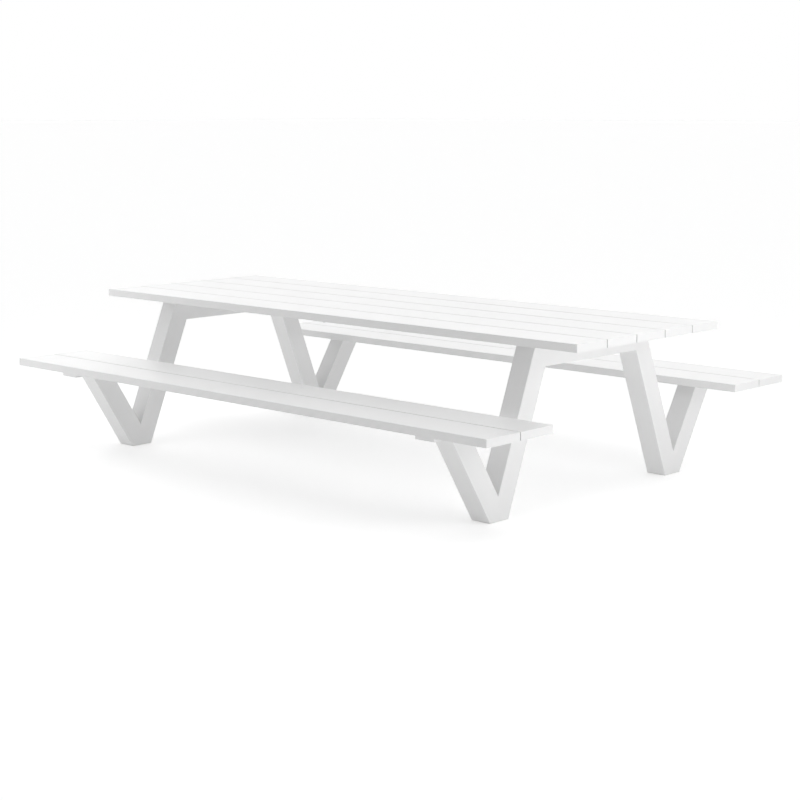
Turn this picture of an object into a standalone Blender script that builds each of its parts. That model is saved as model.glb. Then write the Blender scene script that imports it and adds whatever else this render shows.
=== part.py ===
"""Picnic table with two fixed benches: hollow aluminium planks bolted on two welded end frames.

X runs along the planks, Y across the table, Z up. The origin is on the floor, under the middle of the table.
All sizes are in metres. Each end frame lies in one upright plane: two long legs and a crossbeam make a portal
under the tabletop, and two short legs rise from the same feet to carry the benches.
"""

import math

import bmesh
import bpy
from mathutils import Vector

# Overall sizes
TABLE_LENGTH = 3.050
TABLE_HEIGHT = 0.750
BENCH_HEIGHT = 0.446
BENCH_DISTANCE = 0.150  # between the long edges of tabletop and bench, seen from above
END_OVERHANG = 0.305  # of the planks past an end frame

# Planks: extruded hollow boards with a plate welded over each end
TABLE_PLANKS = 5
BENCH_PLANKS = 2
PLANK_WIDTH = 0.200
PLANK_THICKNESS = 0.035
PLANK_GAP = 0.007
PLANK_WALL = 0.0025
PLANK_CHAMBERS = 3
PLANK_EDGE = 0.001
END_PLATE = 0.003

# End frames: square tube, mitred and welded
TUBE = 0.100
TUBE_WALL = 0.004
TUBE_EDGE = 0.0015
LONG_LEG_LEAN = math.radians(21.5)  # inwards, from upright
FOOT_SETBACK = 0.042  # of the middle of a foot, in from the bench's inner edge
APEX_DEPTH = 0.005  # the centre lines of two legs meet this far under the floor

# What lies between the planks and the frames, and ties the planks together halfway along
BEARER_THICKNESS = 0.025
TABLE_PLATE_THICKNESS = 0.006
BEARER_TONGUE = 0.008  # thickness of the bearer over the leg and under the inner plank
BEARER_INSET = 0.044  # in from the long edges of the planks it carries, also for the table plates
BATTEN_WIDTH = 0.060
BATTEN_THICKNESS = 0.008

# Feet: a pad with a plug that fills the open foot of the two legs
PAD_THICKNESS = 0.002
PAD_INSET = 0.001
PLUG_HEIGHT = 0.012
PLUG_CLEARANCE = 0.001

# M8 bolts: two through each frame into each plank, and one through a batten
BOLT_HOLE = 0.009
BOLT_SPACING = 0.060
OUTER_BOLT_SHIFT = 0.018  # the tabletop's edge planks are bolted this far out, clear of the legs
ACCESS_HOLE = 0.020
RECESS_DEPTH = 0.009  # of the holes that take the bolt heads in the thick ends of the bearers
HOLE_SIDES = 12
CUT_PAST = 0.001  # how far a cutter runs past the faces that it opens

JOINT_GAP = 0.0003  # between pieces that touch or are welded

WHITE_COAT = ("white_powder_coat", (0.86, 0.86, 0.86, 1.0), 0.45)
WHITE_POLYAMIDE = ("white_polyamide", (0.80, 0.80, 0.79, 1.0), 0.60)


# --- Positions that follow from the sizes ---


def group_width(planks):
    return planks * PLANK_WIDTH + (planks - 1) * PLANK_GAP


def plank_offsets(planks):
    """Where each plank's middle is, from the middle of its group."""
    return [(i - (planks - 1) / 2) * (PLANK_WIDTH + PLANK_GAP) for i in range(planks)]


TABLE_HALF_WIDTH = group_width(TABLE_PLANKS) / 2
BENCH_INNER_Y = TABLE_HALF_WIDTH + BENCH_DISTANCE
BENCH_MIDDLE_Y = BENCH_INNER_Y + group_width(BENCH_PLANKS) / 2
FRAME_X = TABLE_LENGTH / 2 - END_OVERHANG - TUBE / 2

TABLE_UNDERSIDE = TABLE_HEIGHT - PLANK_THICKNESS
BENCH_UNDERSIDE = BENCH_HEIGHT - PLANK_THICKNESS
BEAM_TOP = TABLE_UNDERSIDE - TABLE_PLATE_THICKNESS
BEAM_BOTTOM = BEAM_TOP - TUBE
BEARER_BOTTOM = BENCH_UNDERSIDE - BEARER_THICKNESS
TONGUE_BOTTOM = BENCH_UNDERSIDE - BEARER_TONGUE

# A frame is drawn in its own plane, on its +Y side, with points (y, z).
APEX = Vector((BENCH_INNER_Y - FOOT_SETBACK, -APEX_DEPTH))
LONG_LEG_UP = Vector((-math.sin(LONG_LEG_LEAN), math.cos(LONG_LEG_LEAN)))
SHORT_LEG_UP = (Vector((BENCH_MIDDLE_Y, BEARER_BOTTOM)) - APEX).normalized()


def leg_edge(up, side, z):
    """The point at height z on a leg's outer edge (side 1) or its inner one (side -1)."""
    middle_y = APEX.x + up.x / up.y * (z - APEX.y)
    return Vector((middle_y + side * TUBE / 2 / up.y, z))


# --- Building a piece ---


def coat(name):
    """A material of the piece's own."""
    kind, colour, roughness = WHITE_POLYAMIDE if name.startswith("foot_pad") else WHITE_COAT
    material = bpy.data.materials.new(f"{name}_{kind}")
    material.use_nodes = True
    shader = material.node_tree.nodes["Principled BSDF"]
    shader.inputs["Base Color"].default_value = colour
    shader.inputs["Roughness"].default_value = roughness
    shader.inputs["Metallic"].default_value = 0.0
    return material


def add_object(name, shape, location):
    bmesh.ops.recalc_face_normals(shape, faces=shape.faces)
    mesh = bpy.data.meshes.new(name)
    shape.to_mesh(mesh)
    shape.free()
    piece = bpy.data.objects.new(name, mesh)
    piece.location = location
    bpy.context.scene.collection.objects.link(piece)
    return piece


def add_piece(name, shape, location):
    piece = add_object(name, shape, location)
    piece.data.materials.append(coat(name))
    return piece


def box_loop(width, height, edge=0.0, middle=0.0):
    """A rectangle's corners in order, each one cut off by a small flat of the given size."""
    corners = []
    for side, level in ((1, -1), (1, 1), (-1, 1), (-1, -1)):
        x, y = middle + side * width / 2, level * height / 2
        if edge:
            pair = [Vector((x - side * edge, y)), Vector((x, y - level * edge))]
            corners += pair if side * level < 0 else pair[::-1]
        else:
            corners.append(Vector((x, y)))
    return corners


def add_bar(name, outline, length, axis, location, holes=()):
    """A bar along X or Y with the outline across it, and with chambers where holes are given."""
    shape = bmesh.new()
    for loop in (outline, *holes):
        if axis == "X":
            corners = [shape.verts.new((-length / 2, p.x, p.y)) for p in loop]
        else:
            corners = [shape.verts.new((p.x, -length / 2, p.y)) for p in loop]
        for i, corner in enumerate(corners):
            shape.edges.new((corners[i - 1], corner))
    bmesh.ops.triangle_fill(shape, edges=shape.edges, use_beauty=True)
    end = bmesh.ops.extrude_face_region(shape, geom=shape.faces)
    far_corners = [e for e in end["geom"] if isinstance(e, bmesh.types.BMVert)]
    reach = (length, 0, 0) if axis == "X" else (0, length, 0)
    bmesh.ops.translate(shape, verts=far_corners, vec=reach)
    return add_piece(name, shape, location)


def add_rings(name, rings, location, capped):
    """Rings of points joined one to the next, and closed by caps or by joining the last ring to the first."""
    shape = bmesh.new()
    rows = [[shape.verts.new(p) for p in ring] for ring in rings]
    for k in range(1 if capped else 0, len(rows)):
        below, above = rows[k - 1], rows[k]
        for i in range(len(above)):
            shape.faces.new((below[i - 1], below[i], above[i], above[i - 1]))
    if capped:
        shape.faces.new(rows[0])
        shape.faces.new(rows[-1])
    return add_piece(name, shape, location)


def drill(name, spots, diameter, bottom, top, pieces):
    """Cuts an upright round hole at each spot through the pieces, between two heights."""
    shape = bmesh.new()
    for x, y in spots:
        made = bmesh.ops.create_cone(
            shape,
            cap_ends=True,
            segments=HOLE_SIDES,
            radius1=diameter / 2,
            radius2=diameter / 2,
            depth=top - bottom,
        )
        bmesh.ops.translate(shape, verts=made["verts"], vec=(x, y, (bottom + top) / 2))
    cutter = add_object(name, shape, (0, 0, 0))
    cutter.hide_render = True
    cutter.display_type = "WIRE"
    for piece in pieces:
        cut = piece.modifiers.new(name, "BOOLEAN")
        cut.operation = "DIFFERENCE"
        cut.solver = "EXACT"
        cut.object = cutter


# --- Pieces of an end frame ---


def cut_plane(point, along, kept):
    """The plane through point and along a direction, half a joint gap nearer to the kept side."""
    normal = Vector((along.y, -along.x)).normalized()
    if normal.dot(kept) < 0:
        normal = -normal
    return point + normal * JOINT_GAP / 2, normal


def tube_loop(size, edge, cuts):
    """The tube's section, with a point on each of its two side walls at every cut."""
    corners = box_loop(size, size, edge)
    right, left = corners[:4], corners[4:]
    right[2:2] = [Vector((size / 2, cut)) for cut in cuts]
    left[2:2] = [Vector((-size / 2, cut)) for cut in reversed(cuts)]
    return right + left


def add_tube(name, middle, along, starts, ends, frame_x, side):
    """A square tube in the frame's plane, cut off by one or two planes at its start and one at its end."""
    across = Vector((along.y, -along.x))

    def reach(offset, plane):
        point, normal = plane
        return (point - middle - across * offset).dot(normal) / along.dot(normal)

    cuts = []
    if len(starts) == 2:
        here, there = (reach(v, starts[0]) - reach(v, starts[1]) for v in (0.0, TUBE))
        cuts = [here / (here - there) * TUBE]

    rings = []
    for size, order in ((TUBE, 1), (TUBE - 2 * TUBE_WALL, -1)):
        loop = tube_loop(size, TUBE_EDGE, cuts)
        near, far = [], []
        for p in loop:
            base = middle + across * p.y
            first = base + along * max(reach(p.y, plane) for plane in starts)
            last = base + along * min(reach(p.y, plane) for plane in ends)
            near.append((p.x, side * first.x, first.y))
            far.append((p.x, side * last.x, last.y))
        rings += [near, far][::order]
    return add_rings(name, rings, (frame_x, 0, 0), capped=False)


def add_leg(name, up, ends, frame_x, side):
    """A leg from the foot up: the floor end and the joint with the other leg both cut it."""
    floor = (Vector((APEX.x, PAD_THICKNESS + JOINT_GAP)), Vector((0, 1)))
    joint = cut_plane(APEX, LONG_LEG_UP + SHORT_LEG_UP, up)
    return add_tube(name, APEX, up, (joint, floor), ends, frame_x, side)


def bearer_outline(side):
    """The side of a bearer: a tongue over the short leg, and a thick end outside it, cut to the leg's slant."""
    inner = BENCH_INNER_Y + BEARER_INSET
    outer = BENCH_INNER_Y + group_width(BENCH_PLANKS) - BEARER_INSET
    top = BENCH_UNDERSIDE - JOINT_GAP
    slant = [leg_edge(SHORT_LEG_UP, 1, z) for z in (TONGUE_BOTTOM, BEARER_BOTTOM)]
    corners = [
        (inner, top),
        (inner, TONGUE_BOTTOM),
        *((p.x + JOINT_GAP, p.y) for p in slant),
        (outer - PLANK_EDGE, BEARER_BOTTOM),
        (outer, BEARER_BOTTOM + PLANK_EDGE),
        (outer, top),
    ]
    return [Vector((side * y, z)) for y, z in corners]


def add_frame(end, direction):
    """All pieces of one end frame; gives those that are drilled afterwards."""
    frame_x = direction * FRAME_X

    outer_corner = leg_edge(LONG_LEG_UP, 1, BEAM_TOP)
    inner_corner = leg_edge(LONG_LEG_UP, -1, BEAM_BOTTOM)
    mitre = outer_corner - inner_corner
    beam_middle = Vector((0, (BEAM_TOP + BEAM_BOTTOM) / 2))
    beam_end = cut_plane(outer_corner, mitre, Vector((-1, 0)))
    beam_start = (Vector((-beam_end[0].x, beam_end[0].y)), Vector((-beam_end[1].x, beam_end[1].y)))
    beam = add_tube(f"crossbeam_{end}", beam_middle, Vector((1, 0)), (beam_start,), (beam_end,), frame_x, 1)

    plate = add_bar(
        f"table_plate_{end}",
        box_loop(TUBE, TABLE_PLATE_THICKNESS - 2 * JOINT_GAP, PLANK_EDGE),
        2 * (TABLE_HALF_WIDTH - BEARER_INSET),
        "Y",
        (frame_x, 0, BEAM_TOP + TABLE_PLATE_THICKNESS / 2),
    )

    bearers = []
    for name, side in (("front", -1), ("back", 1)):
        leg_top = cut_plane(outer_corner, mitre, -LONG_LEG_UP)
        add_leg(f"long_leg_{end}_{name}", LONG_LEG_UP, (leg_top,), frame_x, side)
        bearer_face = (Vector((0, TONGUE_BOTTOM - JOINT_GAP)), Vector((0, 1)))
        add_leg(f"short_leg_{end}_{name}", SHORT_LEG_UP, (bearer_face,), frame_x, side)
        bearers.append(
            add_bar(f"bench_bearer_{end}_{name}", bearer_outline(side), TUBE, "X", (frame_x, 0, 0))
        )
        add_foot_pad(f"foot_pad_{end}_{name}", frame_x, side)
    return beam, plate, bearers


def add_foot_pad(name, frame_x, side):
    inner = leg_edge(LONG_LEG_UP, -1, PAD_THICKNESS).x
    outer = leg_edge(SHORT_LEG_UP, 1, PAD_THICKNESS).x
    middle, depth = (inner + outer) / 2, outer - inner
    pad = box_loop(TUBE - 2 * PAD_INSET, depth - 2 * PAD_INSET, TUBE_EDGE)
    room = 2 * (TUBE_WALL + PLUG_CLEARANCE)
    slope = TUBE_WALL / LONG_LEG_UP.y + TUBE_WALL / SHORT_LEG_UP.y + 2 * PLUG_CLEARANCE
    plug = box_loop(TUBE - room, depth - slope, TUBE_EDGE)
    levels = ((pad, 0.0), (pad, PAD_THICKNESS), (plug, PAD_THICKNESS), (plug, PAD_THICKNESS + PLUG_HEIGHT))
    rings = [[(p.x, p.y, z) for p in loop] for loop, z in levels]
    return add_rings(name, rings, (frame_x, side * middle, 0), capped=True)


# --- Planks ---


def add_planks(group, planks, middle_y, top):
    """A row of planks with their end plates, and the batten under the middle of them."""
    height = top - PLANK_THICKNESS / 2
    board = box_loop(PLANK_WIDTH, PLANK_THICKNESS, PLANK_EDGE)
    chamber_width = (PLANK_WIDTH - (PLANK_CHAMBERS + 1) * PLANK_WALL) / PLANK_CHAMBERS
    chambers = []
    for i in range(PLANK_CHAMBERS):
        offset = (i - (PLANK_CHAMBERS - 1) / 2) * (chamber_width + PLANK_WALL)
        chambers.append(box_loop(chamber_width, PLANK_THICKNESS - 2 * PLANK_WALL, middle=offset))
    boards = []
    for number, offset in enumerate(plank_offsets(planks), start=1):
        y = middle_y + offset
        name = f"{group}_plank_{number}"
        length = TABLE_LENGTH - 2 * (END_PLATE + JOINT_GAP)
        boards.append(add_bar(name, board, length, "X", (0, y, height), chambers))
        for end, direction in (("left", -1), ("right", 1)):
            x = direction * (TABLE_LENGTH - END_PLATE) / 2
            add_bar(f"{name}_end_{end}", board, END_PLATE, "X", (x, y, height))
    batten = add_bar(
        f"{group}_batten",
        box_loop(BATTEN_WIDTH, BATTEN_THICKNESS, PLANK_EDGE),
        group_width(planks) - 2 * BEARER_INSET,
        "Y",
        (0, middle_y, top - PLANK_THICKNESS - JOINT_GAP - BATTEN_THICKNESS / 2),
    )
    return boards, batten


def bolt_rows(ys):
    """Spots for a pair of bolts at each y on both frames."""
    xs = [end * FRAME_X + pair * BOLT_SPACING / 2 for end in (-1, 1) for pair in (-1, 1)]
    return [(x, y) for x in xs for y in ys]


# --- The table ---

for old in list(bpy.data.objects):
    bpy.data.objects.remove(old)

beams, plates, bearers = [], [], []
for end, direction in (("left", -1), ("right", 1)):
    frame_beam, frame_plate, frame_bearers = add_frame(end, direction)
    beams.append(frame_beam)
    plates.append(frame_plate)
    bearers += frame_bearers

table_boards, table_batten = add_planks("table", TABLE_PLANKS, 0.0, TABLE_HEIGHT)
bench_boards, bench_battens = [], []
for bench, side in (("front_bench", -1), ("back_bench", 1)):
    boards, batten = add_planks(bench, BENCH_PLANKS, side * BENCH_MIDDLE_Y, BENCH_HEIGHT)
    bench_boards += boards
    bench_battens.append(batten)

table_ys = plank_offsets(TABLE_PLANKS)
inner_ys = table_ys[1:-1]
edge_ys = [table_ys[0] - OUTER_BOLT_SHIFT, table_ys[-1] + OUTER_BOLT_SHIFT]
drill(
    "table_bolt_cutter",
    bolt_rows(inner_ys + edge_ys) + [(0, y) for y in inner_ys + edge_ys],
    BOLT_HOLE,
    BEAM_TOP - TUBE_WALL - CUT_PAST,
    TABLE_UNDERSIDE + PLANK_WALL + CUT_PAST,
    beams + plates + table_boards + [table_batten],
)
drill(
    "beam_access_cutter",
    bolt_rows(inner_ys),
    ACCESS_HOLE,
    BEAM_BOTTOM - CUT_PAST,
    BEAM_BOTTOM + TUBE_WALL + CUT_PAST,
    beams,
)
bench_ys = [side * (BENCH_MIDDLE_Y + y) for side in (-1, 1) for y in plank_offsets(BENCH_PLANKS)]
drill(
    "bench_bolt_cutter",
    bolt_rows(bench_ys) + [(0, y) for y in bench_ys],
    BOLT_HOLE,
    BEARER_BOTTOM - CUT_PAST,
    BENCH_UNDERSIDE + PLANK_WALL + CUT_PAST,
    bearers + bench_boards + bench_battens,
)
drill(
    "bearer_recess_cutter",
    bolt_rows([y for y in bench_ys if abs(y) > BENCH_MIDDLE_Y]),
    ACCESS_HOLE,
    BEARER_BOTTOM - CUT_PAST,
    BEARER_BOTTOM + RECESS_DEPTH,
    bearers,
)
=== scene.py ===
import math

import bpy
from mathutils import Euler, Matrix, Vector


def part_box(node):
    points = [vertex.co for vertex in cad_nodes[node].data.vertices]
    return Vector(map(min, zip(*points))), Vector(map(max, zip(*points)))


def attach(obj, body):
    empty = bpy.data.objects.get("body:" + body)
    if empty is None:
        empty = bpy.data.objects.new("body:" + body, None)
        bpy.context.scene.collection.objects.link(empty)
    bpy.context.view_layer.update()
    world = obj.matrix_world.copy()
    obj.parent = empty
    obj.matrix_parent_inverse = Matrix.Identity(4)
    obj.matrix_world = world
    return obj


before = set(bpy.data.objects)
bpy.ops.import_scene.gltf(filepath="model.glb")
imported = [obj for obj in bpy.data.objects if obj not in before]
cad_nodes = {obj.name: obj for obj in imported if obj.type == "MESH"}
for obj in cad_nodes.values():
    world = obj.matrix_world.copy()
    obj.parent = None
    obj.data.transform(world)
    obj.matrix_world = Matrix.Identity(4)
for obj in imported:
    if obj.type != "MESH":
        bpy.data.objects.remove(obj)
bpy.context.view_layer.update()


# --- Planks ---
# Hollow aluminium extrusions 200 by 35 mm with a polyester powder coat, matt white. The coat flows into
# soft orange-peel waves a few millimetres apart, lies a little thicker in some places than in others, and
# still shows a trace of the lines that the die leaves along the metal.

PLANK_GROUPS = {"table": 5, "front_bench": 2, "back_bench": 2}
PLANK_RUN = (1, 0, 0)
COAT_WHITES = ("#EDEDED", "#F0F0F0")  # where the coat is thin, and where it is thick
COAT_ROUGHNESS = (0.52, 0.44)
COAT_IOR = 1.5
FILM_PATCH = 0.180  # metres across a patch of thicker film
FILM_DETAIL = 3.0
ORANGE_PEEL = 0.003  # metres between waves
ORANGE_PEEL_HEIGHT = 0.00002
DIE_LINE = 0.0025  # metres between lines, drawn coarser than real ones so that they show
DIE_LINE_LENGTH = 1.2  # metres before a line changes
DIE_LINE_HEIGHT = 0.000008
FINE_DETAIL = 2.0


def linear(hex_code):
    """An sRGB hex value as linear RGBA."""
    channels = [int(hex_code[i : i + 2], 16) / 255 for i in (1, 3, 5)]
    return [c / 12.92 if c <= 0.04045 else ((c + 0.055) / 1.055) ** 2.4 for c in channels] + [1.0]


def add_node(material, kind, inputs=None, **properties):
    """A shader node with its properties set, and each input given a value or linked to an output."""
    node = material.node_tree.nodes.new(kind)
    for name, value in properties.items():
        setattr(node, name, value)
    for socket, value in (inputs or {}).items():
        if isinstance(value, bpy.types.NodeSocket):
            material.node_tree.links.new(value, node.inputs[socket])
        else:
            node.inputs[socket].default_value = value
    return node


def new_material(name, **sockets):
    """A material and its Principled shader, with the values that are the same all over set on the shader."""
    material = bpy.data.materials.new(name)
    material.use_nodes = True
    shader = material.node_tree.nodes["Principled BSDF"]
    for socket, value in sockets.items():
        shader.inputs[socket.replace("_", " ")].default_value = value
    return material, shader


def link(material, output, shader, socket):
    """Links an output to a socket of the shader."""
    material.node_tree.links.new(output, shader.inputs[socket])


def vary_finish(material, shader, pattern, colours, roughness):
    """Takes a surface from one colour and roughness to another as a pattern goes from 0 to 1."""
    # Sockets 6 and 7 of a Mix node are its two colours, and output 2 is the colour between them.
    colour = add_node(
        material,
        "ShaderNodeMix",
        {"Factor": pattern, 6: linear(colours[0]), 7: linear(colours[1])},
        data_type="RGBA",
    )
    link(material, colour.outputs[2], shader, "Base Color")
    gloss = add_node(
        material,
        "ShaderNodeMapRange",
        {"Value": pattern, "To Min": roughness[0], "To Max": roughness[1]},
    )
    link(material, gloss.outputs["Result"], shader, "Roughness")


def powder_coat(name, run, peel_height=ORANGE_PEEL_HEIGHT):
    """White powder coat over metal that was extruded or rolled in the given direction.

    It looks matt and even, with highlights that waver a little where the film is thicker.
    """
    material, shader = new_material(name, Metallic=0.0, IOR=COAT_IOR)
    place = add_node(material, "ShaderNodeTexCoord").outputs["Object"]
    film = add_node(
        material, "ShaderNodeTexNoise", {"Vector": place, "Scale": 1 / FILM_PATCH, "Detail": FILM_DETAIL}
    ).outputs["Fac"]
    vary_finish(material, shader, film, COAT_WHITES, COAT_ROUGHNESS)

    along = add_node(
        material,
        "ShaderNodeMapping",
        {
            "Vector": place,
            "Rotation": Vector(run).to_track_quat("Z", "Y").to_euler(),
            "Scale": (DIE_LINE, DIE_LINE, DIE_LINE_LENGTH),
        },
        vector_type="TEXTURE",
    )
    lines = add_node(
        material,
        "ShaderNodeTexNoise",
        {"Vector": along.outputs["Vector"], "Scale": 1.0, "Detail": FINE_DETAIL},
    ).outputs["Fac"]
    lined = add_node(
        material, "ShaderNodeBump", {"Height": lines, "Strength": 1.0, "Distance": DIE_LINE_HEIGHT}
    ).outputs["Normal"]
    peel = add_node(
        material, "ShaderNodeTexNoise", {"Vector": place, "Scale": 1 / ORANGE_PEEL, "Detail": FINE_DETAIL}
    ).outputs["Fac"]
    waved = add_node(
        material,
        "ShaderNodeBump",
        {"Height": peel, "Strength": 1.0, "Distance": peel_height, "Normal": lined},
    )
    link(material, waved.outputs["Normal"], shader, "Normal")
    return material


def coat_nodes(names, material):
    """Gives the CAD pieces of these names one material."""
    for name in names:
        cad_nodes[name].data.materials.clear()
        cad_nodes[name].data.materials.append(material)


planks = {group: [f"{group}_plank_{i + 1}" for i in range(count)] for group, count in PLANK_GROUPS.items()}
plank_coat = powder_coat("powder_coat_on_planks", PLANK_RUN)
for names in planks.values():
    coat_nodes(names, plank_coat)


# --- Plates over the planks' ends ---
# Sheet aluminium 3 mm thick, cut to the plank's outline, welded all round and coated together with the
# plank. Its rolling lines run across the plank's, and its coat builds up a bit more.

END_NAMES = ("left", "right")
SHEET_RUN = (0, 1, 0)
SHEET_PEEL_HEIGHT = 0.000025

plate_coat = powder_coat("powder_coat_on_sheet", SHEET_RUN, SHEET_PEEL_HEIGHT)
for names in planks.values():
    coat_nodes([f"{name}_end_{end}" for name in names for end in END_NAMES], plate_coat)


# --- Welds around the planks' ends ---
# The plate is welded to the plank all round, and the bead is ground flush before coating. What is left is
# a narrow closed band, a few hundredths of a millimetre proud, with no ripple in it.

END_WELD_WIDTH = 0.002
END_WELD_WALL = 0.002
WELD_PROUD = 0.00006
PLANK_EDGE = 0.001  # the flat on a plank's long edges
GROUND_PEEL_HEIGHT = 0.00001
ALONG = 0.99  # how nearly a normal or an edge points along an axis


def ground_coat():
    """The same coat over metal that was ground with a flap disc: flatter than over the extrusion."""
    material, shader = new_material("powder_coat_on_ground_welds", Metallic=0.0, IOR=COAT_IOR)
    place = add_node(material, "ShaderNodeTexCoord").outputs["Object"]
    peel = add_node(
        material, "ShaderNodeTexNoise", {"Vector": place, "Scale": 1 / ORANGE_PEEL, "Detail": FINE_DETAIL}
    ).outputs["Fac"]
    vary_finish(material, shader, peel, COAT_WHITES, COAT_ROUGHNESS)
    waved = add_node(
        material, "ShaderNodeBump", {"Height": peel, "Strength": 1.0, "Distance": GROUND_PEEL_HEIGHT}
    )
    link(material, waved.outputs["Normal"], shader, "Normal")
    return material


def start_block(name, size):
    """A cube primitive of the given size, centred on the origin."""
    bpy.ops.object.select_all(action="DESELECT")
    bpy.ops.mesh.primitive_cube_add(size=1, scale=size)
    block = bpy.context.object
    block.name = name
    bpy.ops.object.transform_apply(location=False, rotation=False, scale=True)
    return block


def edit_selected(piece, kind, wanted):
    """Selects the faces or edges of the active piece that pass a test, and leaves it in edit mode."""
    bpy.ops.object.mode_set(mode="EDIT")
    bpy.ops.mesh.select_mode(type=kind)
    bpy.ops.mesh.select_all(action="DESELECT")
    bpy.ops.object.mode_set(mode="OBJECT")
    mesh = piece.data
    for item in mesh.polygons if kind == "FACE" else mesh.edges:
        item.select = wanted(item)
    bpy.ops.object.mode_set(mode="EDIT")


def edge_runs_along(piece, axis):
    """A test for a piece's edges that are parallel to an axis."""
    points = piece.data.vertices

    def test(edge):
        ends = [points[v].co for v in edge.vertices]
        return abs((ends[1] - ends[0]).normalized()[axis]) > ALONG

    return test


def weld_band(name, size, axis, corner, wall):
    """A closed band around a section: a block across the seam, its corners cut, hollowed along one axis."""
    band = start_block(name, size)
    edit_selected(band, "EDGE", edge_runs_along(band, axis))
    bpy.ops.mesh.bevel(offset=corner, segments=1)
    bpy.ops.object.mode_set(mode="OBJECT")
    edit_selected(band, "FACE", lambda face: abs(face.normal[axis]) > ALONG)
    bpy.ops.mesh.inset(thickness=wall, depth=0, use_individual=True)
    bpy.ops.mesh.bridge_edge_loops()
    bpy.ops.object.mode_set(mode="OBJECT")
    return band


def put_in_place(piece, location, turn=0.0):
    """Turns a piece about X and moves it, and leaves its place in its mesh."""
    piece.data.transform(Matrix.Translation(location) @ Matrix.Rotation(turn, 4, "X"))


def copy_of(piece, move):
    """A copy with its own mesh, moved or mirrored by a matrix."""
    twin = piece.copy()
    twin.data = piece.data.copy()
    twin.data.transform(move)
    if move.determinant() < 0:
        twin.data.flip_normals()
    bpy.context.scene.collection.objects.link(twin)
    return twin


def join_as(name, pieces, material):
    """Pieces of one kind as one object that rides on the table."""
    bpy.ops.object.select_all(action="DESELECT")
    for piece in pieces:
        piece.select_set(True)
    bpy.context.view_layer.objects.active = pieces[0]
    bpy.ops.object.join()
    joined = bpy.context.object
    joined.name = name
    joined.data.materials.clear()
    joined.data.materials.append(material)
    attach(joined, "root")
    return joined


def middle_of(node):
    """The middle of a CAD piece's box."""
    low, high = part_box(node)
    return (low + high) / 2


weld_coat = ground_coat()
first_plank = planks["table"][0]
plank_low, plank_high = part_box(first_plank)
plank_size = plank_high - plank_low
seam_x = (plank_high.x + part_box(f"{first_plank}_end_right")[0].x) / 2
end_weld = weld_band(
    "plank_end_weld",
    size=(END_WELD_WIDTH, plank_size.y + 2 * WELD_PROUD, plank_size.z + 2 * WELD_PROUD),
    axis=0,
    corner=PLANK_EDGE,
    wall=END_WELD_WALL,
)
for group, names in planks.items():
    places = [middle_of(name) + Vector((x, 0, 0)) for name in names for x in (-seam_x, seam_x)]
    welds = [copy_of(end_weld, Matrix.Translation(place)) for place in places]
    join_as(f"{group}_end_welds", welds, weld_coat)
bpy.data.objects.remove(end_weld)


# --- Legs and crossbeams ---
# Square aluminium tube 100 by 100 mm, cut to mitres and welded into two end frames, then coated white in
# one go with the benches' bearers. The tubes are extrusions too, with their lines along each tube.

SIDE_NAMES = ("front", "back")
BEAM_RUN = (0, 1, 0)


def run_of_leg(name):
    """The direction a leg runs in, from the middle of its lower corners to that of its upper ones."""
    middle = middle_of(name)
    points = [v.co for v in cad_nodes[name].data.vertices]
    upper = [p for p in points if p.z > middle.z]
    lower = [p for p in points if p.z <= middle.z]
    return sum(upper, Vector()) / len(upper) - sum(lower, Vector()) / len(lower)


for kind in ("long_leg", "short_leg"):
    for side in SIDE_NAMES:
        names = [f"{kind}_{end}_{side}" for end in END_NAMES]
        coat_nodes(names, powder_coat(f"powder_coat_on_{kind}s_{side}", run_of_leg(names[0])))

beam_coat = powder_coat("powder_coat_on_crossbeams", BEAM_RUN)
coat_nodes([f"crossbeam_{end}" for end in END_NAMES], beam_coat)


# --- Welds of the end frames ---
# Mitres and feet are butt-welded all round and ground flush, so each leaves only a narrow band under the
# coat. The band of a foot is open at the bottom, where the plug of the pad goes in.

FRAME_WELD_WIDTH = 0.0024
FRAME_WELD_WALL = 0.003
TUBE_EDGE = 0.0015  # the flat on a tube's edges
FOOT_BAND_START = 0.006  # above the foot's underside
SAME_LEVEL = 0.002  # within this of a height, a corner belongs to it


def corner_of(name, level):
    """The backmost corner, at a height, of a piece of the frame."""
    points = [v.co for v in cad_nodes[name].data.vertices if abs(v.co.z - level) < SAME_LEVEL]
    return Vector((0, max(p.y for p in points), level))


def frame_band(name, upper, lower, x, width):
    """A weld band across a tube, in the plane through two points of a frame's seam."""
    along = upper - lower
    band = weld_band(
        name,
        size=(width + 2 * WELD_PROUD, FRAME_WELD_WIDTH, along.length + 2 * WELD_PROUD),
        axis=1,
        corner=TUBE_EDGE,
        wall=FRAME_WELD_WALL,
    )
    middle = (upper + lower) / 2
    put_in_place(band, (x, middle.y, middle.z), math.atan2(-along.y, along.z))
    return band


def on_every_corner(name, pieces, material):
    """Mirrors pieces of the right frame's back corner to all four corners, as one object for each end."""
    for end, x in zip(END_NAMES, (-1, 1)):
        copies = [copy_of(piece, Matrix.Diagonal((x, y, 1, 1))) for y in (-1, 1) for piece in pieces]
        join_as(f"{name}_{end}", copies, material)
    for piece in pieces:
        bpy.data.objects.remove(piece)


beam_low, beam_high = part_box("crossbeam_right")
frame_x = (beam_low.x + beam_high.x) / 2
tube_width = beam_high.x - beam_low.x
mitre_top = corner_of("crossbeam_right", beam_high.z)
mitre_bottom = corner_of("crossbeam_right", beam_low.z)
mitre_weld = frame_band("mitre_weld", mitre_top, mitre_bottom, frame_x, tube_width)

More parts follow.
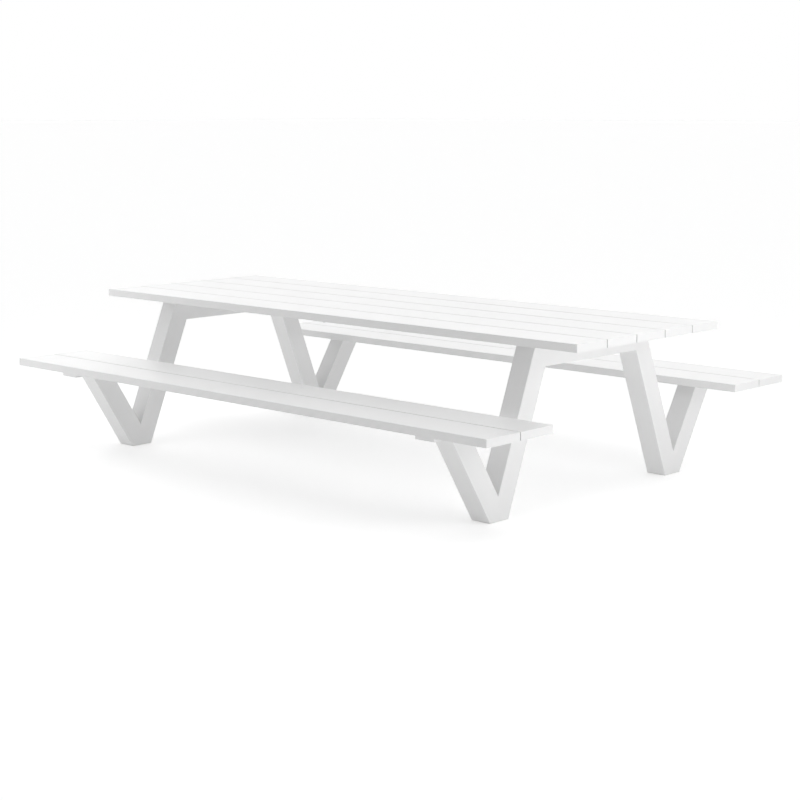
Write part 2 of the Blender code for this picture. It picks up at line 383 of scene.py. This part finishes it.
foot_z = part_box("long_leg_right_back")[0].z
long_leg_points = [v.co for v in cad_nodes["long_leg_right_back"].data.vertices]
inside_of_v = max(long_leg_points, key=lambda p: p.y)
foot_top = Vector((0, inside_of_v.y, inside_of_v.z))
foot_bottom = corner_of("long_leg_right_back", foot_z)
foot_weld = frame_band("foot_weld", foot_top, foot_bottom, frame_x, tube_width)
edit_selected(foot_weld, "FACE", lambda face: True)
bpy.ops.mesh.bisect(
    plane_co=(frame_x, 0, foot_z + FOOT_BAND_START),
    plane_no=(0, 0, 1),
    use_fill=True,
    clear_inner=True,
)
bpy.ops.object.mode_set(mode="OBJECT")
on_every_corner("frame_welds", [mitre_weld, foot_weld], weld_coat)


# --- Bench bearers, table plates and battens ---
# Flat aluminium bar, sawn, drilled and coated white. A bearer is 25 mm thick outside the short leg and 8 mm
# over it, a table plate is 6 mm and a batten, which ties the planks together halfway, 8 mm.

BAR_RUN = (0, 1, 0)
bar_coat = powder_coat("powder_coat_on_bar", BAR_RUN, SHEET_PEEL_HEIGHT)
bearers = {side: [f"bench_bearer_{end}_{side}" for end in END_NAMES] for side in SIDE_NAMES}
battens = {group: f"{group}_batten" for group in PLANK_GROUPS}
table_plates = [f"table_plate_{end}" for end in END_NAMES]
coat_nodes([*bearers["front"], *bearers["back"], *battens.values(), *table_plates], bar_coat)


# --- Fillet welds under the bearers and table plates ---
# Where a leg stands against a flat bar, a fillet weld lies in the corner, across the whole width of the
# tube. It isn't ground, so its round face keeps the ripples of the welding pool under the coat.

FILLET = 0.005  # leg of the weld
FILLET_ROOT = 0.003  # how far it reaches into the slanted corner
FILLET_END = 0.002  # its distance from the tube's sides
FILLET_ROUND = 0.004  # radius of its face
FILLET_ROUNDING = 4
RIPPLE = 0.00565487  # metres between ripples, coarser than on a real bead
RIPPLE_HEIGHT = 0.00015
RIPPLE_UNEVENNESS = 1.5
WAVE_PERIOD = math.pi / 10  # of a Wave node at scale 1


def rippled_coat():
    """The coat over a weld that wasn't ground: ripples across the bead, a little uneven."""
    material, shader = new_material("powder_coat_on_fillet_welds", Metallic=0.0, IOR=COAT_IOR)
    place = add_node(material, "ShaderNodeTexCoord").outputs["Object"]
    ripples = add_node(
        material,
        "ShaderNodeTexWave",
        {
            "Vector": place,
            "Scale": WAVE_PERIOD / RIPPLE,
            "Distortion": RIPPLE_UNEVENNESS,
            "Detail Scale": 2.0,
        },
        bands_direction="X",
    ).outputs["Fac"]
    vary_finish(material, shader, ripples, COAT_WHITES, COAT_ROUGHNESS)
    raised = add_node(
        material, "ShaderNodeBump", {"Height": ripples, "Strength": 1.0, "Distance": RIPPLE_HEIGHT}
    )
    link(material, raised.outputs["Normal"], shader, "Normal")
    return material


def fillet_weld(length):
    """A bead with its corner at the origin: it fills the corner towards +Y and down, with a round face."""
    bead = start_block("fillet_weld", (length, FILLET + FILLET_ROOT, FILLET))
    points = bead.data.vertices

    def outer_edge(edge):
        ends = [points[v].co for v in edge.vertices]
        return all(p.z < 0 and p.y > 0 for p in ends)

    edit_selected(bead, "EDGE", outer_edge)
    bpy.ops.mesh.bevel(offset=FILLET_ROUND, segments=FILLET_ROUNDING)
    bpy.ops.object.mode_set(mode="OBJECT")
    put_in_place(bead, (0, (FILLET - FILLET_ROOT) / 2, -FILLET / 2))
    return bead


leg_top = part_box("short_leg_right_back")[1].z
short_leg_points = [v.co for v in cad_nodes["short_leg_right_back"].data.vertices]
leg_inner_y = min(p.y for p in short_leg_points if p.z > leg_top - SAME_LEVEL)
bearer_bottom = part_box("bench_bearer_right_back")[0].z
bearer_points = [v.co for v in cad_nodes["bench_bearer_right_back"].data.vertices]
thick_end_y = min(p.y for p in bearer_points if p.z < bearer_bottom + SAME_LEVEL)
plate_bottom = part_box("table_plate_right")[0].z

bead = fillet_weld(tube_width - 2 * FILLET_END)
beads = []
for y, z, away in (
    (leg_inner_y, leg_top, -1),
    (thick_end_y, bearer_bottom, 1),
    (mitre_top.y, plate_bottom, 1),
):
    beads.append(copy_of(bead, Matrix.Translation((frame_x, y, z)) @ Matrix.Diagonal((1, away, 1, 1))))
bpy.data.objects.remove(bead)
on_every_corner("fillet_welds", beads, rippled_coat())


# --- Bolts and washers ---
# M8 hexagon bolts of stainless steel with a washer under each head, from below into threaded inserts in
# the planks: two for each plank on each frame, and one through a batten. The heads show only from below.

STEEL_GREYS = ("#B2B1AE", "#C4C3C0")
STEEL_ROUGHNESS = (0.26, 0.38)
TURNING_MARK = 0.0004  # metres between marks
MARK_DETAIL = 3.0
BOLT_HEAD_RADIUS = 0.0075  # to the corners of 13 mm across flats
BOLT_HEAD_HEIGHT = 0.0053
BOLT_CHAMFER = 0.0006
DISH_RIM = 0.0005  # around the shallow dish in the head
DISH_DEPTH = 0.0003
BOLT_RADIUS = 0.004
BOLT_ROUNDING = 20
BOLT_LENGTH = 0.025
WASHER_RADIUS = 0.008
WASHER_ROUNDING = 32
WASHER_HEIGHT = 0.0016
BOLT_SPACING = 0.060  # between the two bolts of a plank on a frame
OUTER_BOLT_SHIFT = 0.018  # outwards from the middle of the tabletop's outermost planks
BEARER_TONGUE = 0.008  # the bearer's thickness over the short leg
RECESS_DEPTH = 0.009  # of a bolt's recess in the bearer's thick end
TUBE_WALL = 0.004
FIT = 0.0001  # play between a washer, its bolt and the face above it


def stainless_steel():
    """Cold-headed stainless steel: bright, slightly uneven, with fine marks."""
    material, shader = new_material("stainless_steel_bolts", Metallic=1.0)
    place = add_node(material, "ShaderNodeTexCoord").outputs["Object"]
    marks = add_node(
        material, "ShaderNodeTexNoise", {"Vector": place, "Scale": 1 / TURNING_MARK, "Detail": MARK_DETAIL}
    ).outputs["Fac"]
    vary_finish(material, shader, marks, STEEL_GREYS, STEEL_ROUGHNESS)
    return material


def start_round(name, sides, radius, low, high):
    """An upright cylinder primitive between two heights on the Z axis."""
    bpy.ops.object.select_all(action="DESELECT")
    bpy.ops.mesh.primitive_cylinder_add(
        vertices=sides, radius=radius, depth=high - low, location=(0, 0, (high + low) / 2)
    )
    bpy.context.object.name = name
    bpy.ops.object.transform_apply(location=True, rotation=False, scale=False)
    return bpy.context.object


def hexagon_bolt():
    """A bolt pointing up, its head's bearing face at height 0: a chamfered hexagon and a round shank."""
    head = start_round("bolt_head", 6, BOLT_HEAD_RADIUS, -BOLT_HEAD_HEIGHT, 0)
    points = head.data.vertices
    edit_selected(head, "EDGE", lambda edge: all(points[v].co.z < -FIT for v in edge.vertices))
    bpy.ops.mesh.bevel(offset=BOLT_CHAMFER, segments=1)
    bpy.ops.object.mode_set(mode="OBJECT")
    edit_selected(head, "FACE", lambda face: face.normal.z < -ALONG)
    bpy.ops.mesh.inset(thickness=DISH_RIM, depth=0)
    bpy.ops.mesh.inset(thickness=DISH_DEPTH, depth=-DISH_DEPTH)
    bpy.ops.object.mode_set(mode="OBJECT")

    shank = start_round("bolt_shank", BOLT_ROUNDING, BOLT_RADIUS, -FIT, BOLT_LENGTH - BOLT_CHAMFER)
    edit_selected(shank, "FACE", lambda face: face.normal.z > ALONG)
    bpy.ops.mesh.inset(thickness=BOLT_CHAMFER, depth=BOLT_CHAMFER)
    bpy.ops.object.mode_set(mode="OBJECT")
    head.select_set(True)
    bpy.context.view_layer.objects.active = head
    bpy.ops.object.join()
    return head


def washer():
    """A flat ring under the bolt's head, with its upper face at height 0."""
    ring = start_round("washer", WASHER_ROUNDING, WASHER_RADIUS, -WASHER_HEIGHT, 0)
    edit_selected(ring, "FACE", lambda face: abs(face.normal.z) > ALONG)
    bpy.ops.mesh.inset(thickness=WASHER_RADIUS - BOLT_RADIUS - FIT, depth=0, use_individual=True)
    bpy.ops.mesh.bridge_edge_loops()
    bpy.ops.object.mode_set(mode="OBJECT")
    return ring


def bench_bolts(group, end, xs):
    """A bench's bolts at one frame: in a recess in the bearer's thick end, and under its tongue."""
    low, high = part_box(f"bench_bearer_{end}_{group.split('_')[0]}")
    inner_y, outer_y = sorted((middle_of(name).y for name in planks[group]), key=abs)
    tongue_bottom = high.z - BEARER_TONGUE
    return [(x, y, z) for x in xs for y, z in ((inner_y, tongue_bottom), (outer_y, low.z + RECESS_DEPTH))]


def table_bolts(end, xs):
    """The tabletop's bolts at one frame: up from inside the crossbeam, and outside it through the plate."""
    inside_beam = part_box(f"crossbeam_{end}")[1].z - TUBE_WALL
    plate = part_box(f"table_plate_{end}")[0].z
    ys = [middle_of(name).y for name in planks["table"]]
    inner = [(x, y, inside_beam) for x in xs for y in ys[1:-1]]
    outer = [(x, y + math.copysign(OUTER_BOLT_SHIFT, y), plate) for x in xs for y in (ys[0], ys[-1])]
    return inner + outer


def batten_bolts(group):
    """One bolt up through a batten into each plank."""
    ys = [middle_of(name).y for name in planks[group]]
    if group == "table":
        ys[0] += math.copysign(OUTER_BOLT_SHIFT, ys[0])
        ys[-1] += math.copysign(OUTER_BOLT_SHIFT, ys[-1])
    return [(0, y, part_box(battens[group])[0].z) for y in ys]


steel = stainless_steel()
bolt = hexagon_bolt()
ring = washer()
for group in PLANK_GROUPS:
    places = batten_bolts(group)
    for end in END_NAMES:
        middle_x = middle_of(f"crossbeam_{end}").x
        xs = (middle_x - BOLT_SPACING / 2, middle_x + BOLT_SPACING / 2)
        places += table_bolts(end, xs) if group == "table" else bench_bolts(group, end, xs)
    bolts = [copy_of(bolt, Matrix.Translation((x, y, z - FIT - WASHER_HEIGHT))) for x, y, z in places]
    washers = [copy_of(ring, Matrix.Translation((x, y, z - FIT))) for x, y, z in places]
    join_as(f"{group}_bolts", bolts, steel)
    join_as(f"{group}_washers", washers, steel)
bpy.data.objects.remove(bolt)
bpy.data.objects.remove(ring)


# --- Foot pads ---
# Injection-moulded white polyamide: a thin pad under each foot, with a plug that holds it in the tubes.
# The mould's spark-eroded surface leaves a fine even grain, duller than the coat above it.

PAD_WHITES = ("#E0E0DC", "#E6E6E3")
PAD_ROUGHNESS = 0.62
PAD_IOR = 1.53
MOULD_GRAIN = 0.0008  # metres, coarser than real grain so that it shows
MOULD_GRAIN_HEIGHT = 0.00003


def moulded_polyamide():
    """White polyamide from a spark-eroded mould: a fine even grain."""
    material, shader = new_material(
        "moulded_white_polyamide", Metallic=0.0, IOR=PAD_IOR, Roughness=PAD_ROUGHNESS
    )
    place = add_node(material, "ShaderNodeTexCoord").outputs["Object"]
    grain = add_node(
        material, "ShaderNodeTexNoise", {"Vector": place, "Scale": 1 / MOULD_GRAIN, "Detail": FINE_DETAIL}
    ).outputs["Fac"]
    white = add_node(
        material,
        "ShaderNodeMix",
        {"Factor": grain, 6: linear(PAD_WHITES[0]), 7: linear(PAD_WHITES[1])},
        data_type="RGBA",
    )
    link(material, white.outputs[2], shader, "Base Color")
    raised = add_node(
        material, "ShaderNodeBump", {"Height": grain, "Strength": 1.0, "Distance": MOULD_GRAIN_HEIGHT}
    )
    link(material, raised.outputs["Normal"], shader, "Normal")
    return material


coat_nodes([f"foot_pad_{end}_{side}" for end in END_NAMES for side in SIDE_NAMES], moulded_polyamide())


# --- Studio floor ---
# A plain white studio floor that runs out of sight, lit from below like a light table, which keeps the
# shadows on it faint.

FLOOR_SIZE = 400
FLOOR_SEEN = 0.97  # how white the floor is to the camera
FLOOR_BOUNCE = 0.75  # and to the light that it throws back at the table
FLOOR_GLOW = 0.258

bpy.ops.object.select_all(action="DESELECT")
bpy.ops.mesh.primitive_plane_add(size=FLOOR_SIZE)
studio_floor = bpy.context.object
studio_floor.name = "studio_floor"
floor_white, floor_shader = new_material("white_studio_floor", Roughness=1.0, Specular_IOR_Level=0.0)
floor_shader.inputs["Emission Color"].default_value = (1, 1, 1, 1)
floor_shader.inputs["Emission Strength"].default_value = FLOOR_GLOW
path = add_node(floor_white, "ShaderNodeLightPath")
seen = add_node(
    floor_white,
    "ShaderNodeMix",
    {"Factor": path.outputs["Is Camera Ray"], 6: [FLOOR_BOUNCE] * 3 + [1], 7: [FLOOR_SEEN] * 3 + [1]},
    data_type="RGBA",
)
link(floor_white, seen.outputs[2], floor_shader, "Base Color")
studio_floor.data.materials.append(floor_white)


# --- Studio light ---
# Four wide soft lights far away, given by compass angle from +X towards +Y, height above the floor and
# strength, and three softboxes near the table, given by place and watts. They face the table's middle.

SOFT_LIGHT_ANGLE = math.radians(60)
SOFT_LIGHTS = {
    "low_light_left_back": (135, 15, 1.761),
    "light_right_back": (45, 40, 0.595),
    "light_front": (270, 40, 0.704),
    "overhead_light": (0, 90, 1.049),
}
SOFTBOX_SIZE = (2.4, 1.8)
SOFTBOX_AIM = Vector((0, 0, 0.4))
SOFTBOXES = {
    "softbox_right": ((3.8, 0, 1.1), 30.8),
    "softbox_left": ((-2.687, -2.263, 1.1), 12.2),
    "high_softbox_left": ((-2.263, -1.838, 3.0), 9.6),
}


def add_light(name, kind, strength, direction):
    """A light that shines against the given direction."""
    light = bpy.data.lights.new(name, kind)
    light.energy = strength
    lamp = bpy.data.objects.new(name, light)
    lamp.rotation_euler = direction.to_track_quat("Z", "Y").to_euler()
    bpy.context.scene.collection.objects.link(lamp)
    return lamp


for name, (compass, height, strength) in SOFT_LIGHTS.items():
    turn = Euler((0, -math.radians(height), math.radians(compass)))
    sun = add_light(name, "SUN", strength, turn.to_matrix() @ Vector((1, 0, 0)))
    sun.data.angle = SOFT_LIGHT_ANGLE

for name, (place, watts) in SOFTBOXES.items():
    softbox = add_light(name, "AREA", watts, Vector(place) - SOFTBOX_AIM)
    softbox.data.shape = "RECTANGLE"
    softbox.data.size, softbox.data.size_y = SOFTBOX_SIZE
    softbox.location = place
    softbox.visible_camera = False

room = bpy.data.worlds.new("white_room")
bpy.context.scene.world = room
room.use_nodes = True
room_path = add_node(room, "ShaderNodeLightPath")
link(room, room_path.outputs["Is Camera Ray"], room.node_tree.nodes["Background"], "Strength")
room.node_tree.nodes["Background"].inputs["Color"].default_value = (1, 1, 1, 1)
bpy.context.scene.view_settings.view_transform = "Standard"


# --- Camera ---
# Beyond the near right corner, at a standing person's eye height, with a long lens. The lens is shifted
# down a little, so that the camera tilts less and the legs stay nearly upright in the picture.

CAMERA_PLACE = (5.5908, -5.8844, 1.6867)
CAMERA_TILT = math.radians(90 - 4.768)
CAMERA_TURN = math.radians(43.146)
CAMERA_LENS = 76.19
CAMERA_SHIFT = -0.1875
CAMERA_REACH = 500  # metres, past the floor's far edge

camera_data = bpy.data.cameras.new("camera")
camera_data.lens = CAMERA_LENS
camera_data.shift_y = CAMERA_SHIFT
camera_data.clip_end = CAMERA_REACH
camera = bpy.data.objects.new("camera", camera_data)
camera.location = CAMERA_PLACE
camera.rotation_euler = Euler((CAMERA_TILT, 0, CAMERA_TURN))
bpy.context.scene.collection.objects.link(camera)
bpy.context.scene.camera = camera
